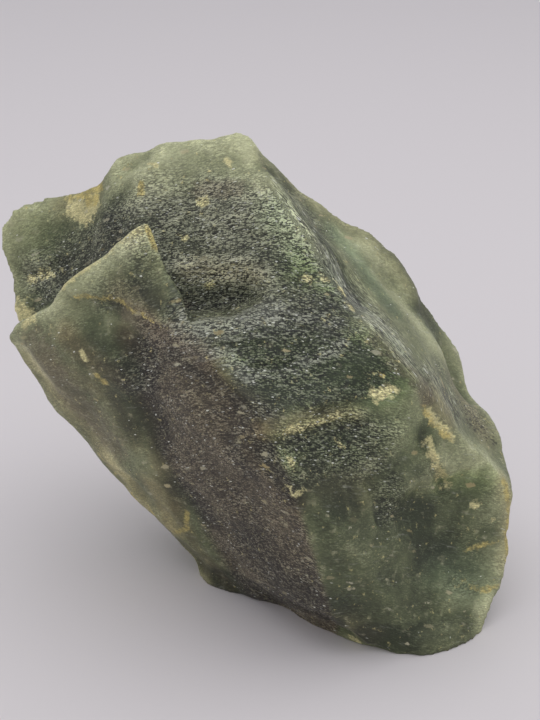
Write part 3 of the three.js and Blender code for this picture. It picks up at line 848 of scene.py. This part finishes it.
# %% Skin and masks
stone = bpy.data.objects.new("raw_aventurine", remeshed)
bpy.context.scene.collection.objects.link(stone)
skin.to_mesh(stone.data)
skin.free()
stone.data.polygons.foreach_set("use_smooth", [True] * len(stone.data.polygons))
grainy = np.maximum(mica, 0.5 * weathered)
deep_pocket = near([(-12, -3, 66), (-3, -4, 66)], 8)
MASKS = {
    # shares of a coat, a stain or a tint
    "grey": 0.6 * mica * (1 - patches(GREEN_MICA)),
    # the glow is painted light: a paler yellow-green on the thin rim
    "glow": 0.5 * thin**2 * (1 - right_flank),
    "brown": 0.92 * weathered,
    "painted_sheen": painted_sheen, "rust": rust, "milky_and_highlight": milky_and_highlight, "iron": iron, "pits": pits,
    **{name: patches(places) for name, (_, places) in TINTS.items()},
    # how pale the rock is, with painted light and painted shade in it, and how far the bands of its
    # layers push that up and down
    "paleness_and_painted_shading": paleness_and_painted_shading,
    "band_swing": 0.22 + 0.2 * mica,
    # in stops of brightness: one stop is twice as bright
    "grain_swing": 0.9 + 4.8 * grainy - 0.4 * right_flank + 2.5 * deep_pocket,
    "flake_swing": 0.3 + 0.5 * grainy,
    "lift": 0.15 + 0.4 * mica + 0.15 * weathered,
    # how dark the painted shade in the gaps between the grains is, and how far the grains stand out
    "gap_shade": 0.15 + 0.85 * grainy,
    "relief": 0.2 + 0.8 * grainy,
    # the throw of the dice from which a grain gets a painted glint
    "painted_glint_from": 0.998 - 0.025 * grainy - 0.05 * deep_pocket,
}
for name, mask in MASKS.items():
    stone.data.attributes.new(name, "FLOAT", "POINT").data.foreach_set("value", mask)
stone.data.attributes.new("grain_place", "FLOAT_VECTOR", "POINT").data.foreach_set(
    "vector", (grain_place * MM).ravel()
)
print("attributes:", len(MASKS) + 1, "on", len(stone.data.vertices), "corners")

# %% [markdown]
# ## The rock's material
#
# Aventurine is quartzite, with quartz's index of refraction of 1.54. Split with a hammer it is
# neither polished nor powdery: every grain shows its own small facet, so the gloss is broad and
# dull. One Principled shader carries it. The patterns lie by the place in the lump, never by
# the view, so they stay on the stone from every side.

# %% Material
# how closely a pattern lies along the layers, both ways, and across them
SCALES = (0.75, 0.75, 1.4)
FIBRES = (0.45, 0.45, 2.2)


def per_metre(millimetres):
    """The scale of a pattern that repeats after so many millimetres."""
    return 1 / (millimetres * MM)


rock = bpy.data.materials.new("aventurine quartzite, hammer-split")
rock.use_nodes = True
tree = rock.node_tree
shader = tree.nodes["Principled BSDF"]
here = add_node(tree, "ShaderNodeTexCoord").outputs["Object"]
mask = {
    name: add_node(tree, "ShaderNodeAttribute", {"attribute_name": name}).outputs["Fac"]
    for name in MASKS
}
layered = add_node(tree, "ShaderNodeAttribute", {"attribute_name": "grain_place"}).outputs["Vector"]
flat = add_node(tree, "ShaderNodeMapping", Vector=layered, Scale=SCALES)
fibrous = add_node(tree, "ShaderNodeMapping", Vector=layered, Scale=FIBRES)
print("material:", rock.name)

# %% [markdown]
# ## Patterns at their real size
#
# The clouds of colour are a centimetre or two wide, the bands of the layers some millimetres,
# the grains 0.2 to 0.5 mm, the mica flakes 0.3 to 1 mm and the cream specks 0.5 to 1 mm. Noise
# makes what fades into its surroundings. Voronoi cells make what has an outline, as a grain
# has, and each cell brings three chance numbers that serve as dice: how bright this grain is,
# and whether it gets a painted glint.

# %% Patterns
# name: (place, repeats after mm, detail, roughness)
NOISES = {
    "cloud": (here, 14, 4, 0.6),
    "bands": (flat, 4, 5, 0.6),
    "blotches": (here, 2.2, 5, 0.5),
    "ragged": (here, 1.3, 4, 0.65),
    "dust": (here, 1.0, 5, 0.75),
    "fibres": (fibrous, 1.4, 5, 0.6),
}
pattern = {
    name: add_node(
        tree, "ShaderNodeTexNoise", Vector=at, Scale=per_metre(size), Detail=detail, Roughness=fray
    )
    for name, (at, size, detail, fray) in NOISES.items()
}
# widths of the cells in mm; a speck fills only the middle of its cell
CELLS = {"grain": 0.26, "flake": 0.5, "speck": 2.4}
cell = {
    name: add_node(tree, "ShaderNodeTexVoronoi", Vector=flat, Scale=per_metre(size)).outputs
    for name, size in CELLS.items()
}
dice = {
    name: add_node(tree, "ShaderNodeSeparateColor", Color=outputs["Color"]).outputs
    for name, outputs in cell.items()
}
print("patterns, in mm:", {name: row[1] for name, row in NOISES.items()} | CELLS)

# %% [markdown]
# ## Colours of the rock
#
# Three rocks meet in the lump: green quartz, grey layers full of mica, and the face that
# weather turned brown. One colour with noise over it would look like painted plaster. Each rock
# has a ramp from its deep tone to its pale one, all are read with the same uneven paleness, which
# holds painted light and shade too, and the masks lay one over the other. The thin rim gets a
# painted yellow-green glow, as light that comes through it.

# %% Colours of the rock
# A Mix node for colours has its share in socket 0, the lower colour in 6 and the upper in 7.
MIX = {"data_type": "RGBA"}
GREENS = {0.0: "#303820", 0.3: "#596041", 0.6: "#878B68", 1.0: "#BDBF97"}
GREYS = {0.0: "#21221C", 0.3: "#4F5045", 0.6: "#838377", 1.0: "#B4B3A6"}
BROWNS = {0.0: "#362F26", 0.4: "#615644", 1.0: "#8A7D62"}
YELLOWS = {0.35: "#95894E", 0.65: "#C8B76F"}
# the painted glow of the thin rim, where light would come through
GLOW = "#ACAF82"


def swung(start, swings):
    """The start, pushed up or down by each pattern in turn, as far as its size says."""
    for source, size in swings:
        half = add_node(tree, "ShaderNodeMath", {"operation": "SUBTRACT"}, _0=source, _1=0.5)
        start = add_node(
            tree, "ShaderNodeMath", {"operation": "MULTIPLY_ADD"}, _0=half, _1=size, _2=start
        )
    return start


uneven = swung(
    mask["paleness_and_painted_shading"],
    [(pattern["cloud"], 0.55), (pattern["bands"], mask["band_swing"]), (pattern["blotches"], 0.3)],
)
toned = {}
for name, tones, value in (
    ("green", GREENS, uneven), ("grey", GREYS, uneven), ("brown", BROWNS, uneven),
    ("yellow", YELLOWS, pattern["ragged"]),
):
    toned[name] = add_node(tree, "ShaderNodeValToRGB", Fac=value)
    stops = toned[name].color_ramp.elements
    while len(stops) < len(tones):
        stops.new(0.5)
    for stop, (at, tone) in zip(stops, tones.items()):
        stop.position = at
        stop.color = linear(tone)

colour = toned["green"]
COATS = [("grey", toned["grey"]), ("glow", linear(GLOW)), ("brown", toned["brown"])]
for name, coat in COATS:
    colour = add_node(tree, "ShaderNodeMix", MIX, _0=mask[name], _6=colour, _7=coat)
print("ramps:", ", ".join(toned))

# %% [markdown]
# ## Tints
#
# Water and iron shift the hue of the quartz, but not how light or dark it is. Mixed in the
# plain way a tint would flatten the grain under it. The blend named Color takes the hue from
# the tint and leaves the lightness of the rock.

# %% Tints
HUE_ONLY = MIX | {"blend_type": "COLOR"}
for name, (tint, _) in TINTS.items():
    colour = add_node(tree, "ShaderNodeMix", HUE_ONLY, _0=mask[name], _6=colour, _7=linear(tint))
print("tints laid over the rock:", ", ".join(TINTS))

# %% [markdown]
# ## Stains and marks
#
# The soft masks would lie on the rock like brush strokes. A noise pushes each mask up and down
# before it is cut off, so that the mark breaks into crusts and flecks at its edge, and the
# painted sheen of the mica into long streaks along the layers. Last come small pale blots all over.

# %% Stains and marks
# mask, pattern that tears its outline, size of the tears, where it is full, most, coat
MARKS = [
    # the first mark is the painted sheen of the mica
    ("painted_sheen", pattern["fibres"], 3.0, 0.8, 0.4, linear("#A6A89B")),
    ("rust", pattern["ragged"], 1.6, 0.8, 0.5, linear("#6A5E4D")),
    # this cream coat also paints the highlight along the plate's edge
    ("milky_and_highlight", pattern["ragged"], 2.4, 0.75, 0.9, linear("#CEC692")),
    ("iron", pattern["ragged"], 2.2, 0.8, 0.8, toned["yellow"]),
]
STARTS = 0.3  # of a torn mask, where its mark begins to show
BLOTS_FROM, BLOTS_FULL, BLOTS_MOST = 0.62, 0.74, 0.3

for name, tearing, tear, full, most, coat in MARKS:
    torn_mask = swung(mask[name], [(tearing, tear)])
    share = add_node(
        tree, "ShaderNodeMapRange", Value=torn_mask, From_Min=STARTS, From_Max=full, To_Max=most
    )
    colour = add_node(tree, "ShaderNodeMix", MIX, _0=share, _6=colour, _7=coat)
blots = add_node(
    tree, "ShaderNodeMapRange", Value=pattern["blotches"],
    From_Min=BLOTS_FROM, From_Max=BLOTS_FULL, To_Max=BLOTS_MOST,
)
colour = add_node(tree, "ShaderNodeMix", MIX, _0=blots, _6=colour, _7=linear("#B9B594"))
print("marks laid over the rock:", ", ".join(row[0] for row in MARKS))

# %% [markdown]
# ## Grains and glints
#
# Close up the stone looks like sugar: bright grains, dark gaps, and here and there a facet that
# mirrors the light. They are too many to be modelled. The dice brighten or darken each cell, the
# gaps between cells and some fine cracks get painted shade, and the brightest grains take a
# painted pale sheen instead of a brighter green. A few grains are painted almost white, as
# glints. Cream specks and the painted shade of the small pits of the torn flank come last.

# %% Grains
# in stops of brightness; the darkest gap is painted shade between the grains
DUST, DARKEST_GAP_SHADE, BRIGHTEST = 0.9, -1.2, 1.2
CRACK = 0.016  # how near to its middle value the fibrous noise has to be
PAINTED_GRAIN_SHEEN = "#B3B49E"

brightness = swung(
    0.0,
    [
        (dice["grain"]["Red"], mask["grain_swing"]), (dice["flake"]["Red"], mask["flake_swing"]),
        (pattern["dust"], DUST),
    ],
)
busy = add_node(
    tree, "ShaderNodeMapRange", Value=pattern["bands"], From_Min=0.35, From_Max=0.65,
    To_Min=0.5, To_Max=1.3,
)
brightness = add_node(
    tree, "ShaderNodeMath", {"operation": "MULTIPLY_ADD"}, _0=brightness, _1=busy, _2=mask["lift"]
)
# painted shade in the gaps between the grains and in fine cracks
gap_shade = add_node(
    tree, "ShaderNodeMapRange", Value=cell["grain"]["Distance"], From_Min=0.35, From_Max=0.7,
    To_Max=DARKEST_GAP_SHADE,
)
from_crack = add_node(
    tree, "ShaderNodeMath", {"operation": "COMPARE"}, _0=pattern["fibres"], _1=0.5, _2=CRACK
)
gap_shade = add_node(
    tree, "ShaderNodeMath", {"operation": "MULTIPLY_ADD"}, _0=from_crack, _1=DARKEST_GAP_SHADE, _2=gap_shade
)
brightness = add_node(
    tree, "ShaderNodeMath", {"operation": "MULTIPLY_ADD"}, _0=gap_shade, _1=mask["gap_shade"], _2=brightness
)
capped = add_node(
    tree, "ShaderNodeMath", {"operation": "SMOOTH_MIN"}, _0=brightness, _1=BRIGHTEST, _2=1.0
)
times = add_node(tree, "ShaderNodeMath", {"operation": "POWER"}, _0=2.0, _1=capped)
colour = add_node(tree, "ShaderNodeVectorMath", {"operation": "SCALE"}, _0=colour, Scale=times)
# the brightest grains are mixed towards pale grey, a painted sheen
paler = add_node(
    tree, "ShaderNodeMapRange", Value=brightness, From_Min=0.2, From_Max=2.5, To_Max=0.45
)
colour = add_node(tree, "ShaderNodeMix", MIX, _0=paler, _6=colour, _7=linear(PAINTED_GRAIN_SHEEN))
print("grain colour, brightened by up to", BRIGHTEST, "stops")

# %% Glints, specks and pits
PAINTED_GLINT, CREAM, OLD_CREAM, PIT_SHADE = "#E4E6DA", "#BFBDA4", "#A89868", "#2E2B25"
PITS_FROM, PITS_FULL, PITS_MOST = 0.7, 0.72, 0.7

# painted glints: a few grains are painted almost white, where a facet would mirror the light
painted_glint = add_node(
    tree, "ShaderNodeMapRange", Value=dice["grain"]["Green"], From_Min=mask["painted_glint_from"],
    From_Max=1.0,
)
colour = add_node(tree, "ShaderNodeMix", MIX, _0=painted_glint, _6=colour, _7=linear(PAINTED_GLINT))
middle = swung(cell["speck"]["Distance"], [(pattern["dust"], 0.9), (dice["speck"]["Red"], -0.6)])
speck = add_node(
    tree, "ShaderNodeMapRange", Value=middle, From_Min=0.0, From_Max=-0.08,
    To_Max=dice["speck"]["Green"],
)
cream = add_node(
    tree, "ShaderNodeMix", MIX, _0=dice["speck"]["Blue"], _6=linear(CREAM), _7=linear(OLD_CREAM)
)
colour = add_node(tree, "ShaderNodeMix", MIX, _0=speck, _6=colour, _7=cream)
# painted shade in the small pits of the torn flank
hole = add_node(
    tree, "ShaderNodeMath", {"operation": "MULTIPLY"}, _0=dice["flake"]["Green"], _1=mask["pits"]
)
hole = add_node(
    tree, "ShaderNodeMapRange", Value=hole, From_Min=PITS_FROM, From_Max=PITS_FULL, To_Max=PITS_MOST
)
colour = add_node(tree, "ShaderNodeMix", MIX, _0=hole, _6=colour, _7=linear(PIT_SHADE))
print("nodes in the material:", len(tree.nodes))

# %% [markdown]
# ## Fine relief and gloss
#
# The grains stand a few hundredths of a millimetre out of the face, too little to show at the
# rim, so a bump is enough for them; all that is larger is in the mesh. Light goes a millimetre
# or two into quartz before it comes back. A little scattering below the skin softens the shade
# at the lips as the real stone does.

# %% Fine relief and gloss
RELIEF = 0.3 * MM
GLOSS = {
    "Roughness": 0.55, "IOR": 1.54, "Subsurface Weight": 0.2,
    "Subsurface Radius": (1.0, 1.0, 0.6), "Subsurface Scale": 2.0 * MM,
}

domes = add_node(
    tree, "ShaderNodeMath", {"operation": "MULTIPLY"}, _0=cell["grain"]["Distance"], _1=-0.5
)
sugar = swung(domes, [(pattern["dust"], 1.0), (cell["flake"]["Distance"], -0.5)])
sugar = add_node(tree, "ShaderNodeMath", {"operation": "MULTIPLY"}, _0=sugar, _1=mask["relief"])
bump = add_node(tree, "ShaderNodeBump", Strength=0.8, Distance=RELIEF, Height=sugar)
tree.links.new(bump.outputs["Normal"], shader.inputs["Normal"])
tree.links.new(colour.outputs[2], shader.inputs["Base Color"])
for name, value in GLOSS.items():
    shader.inputs[name].default_value = value
stone.data.materials.clear()
stone.data.materials.append(rock)
print("gloss:", GLOSS)

# %% [markdown]
# ## The stone in the frame
#
# The stone has no moving part, so it rides on the frame's root as one piece. The exact solid
# could stay inside its skin, but its flat faces would show wherever the skin dips below them, so
# the skin takes its place.

# %% The stone in the frame
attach(stone, "root")
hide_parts("aventurine")
print("pieces:", stone.name)
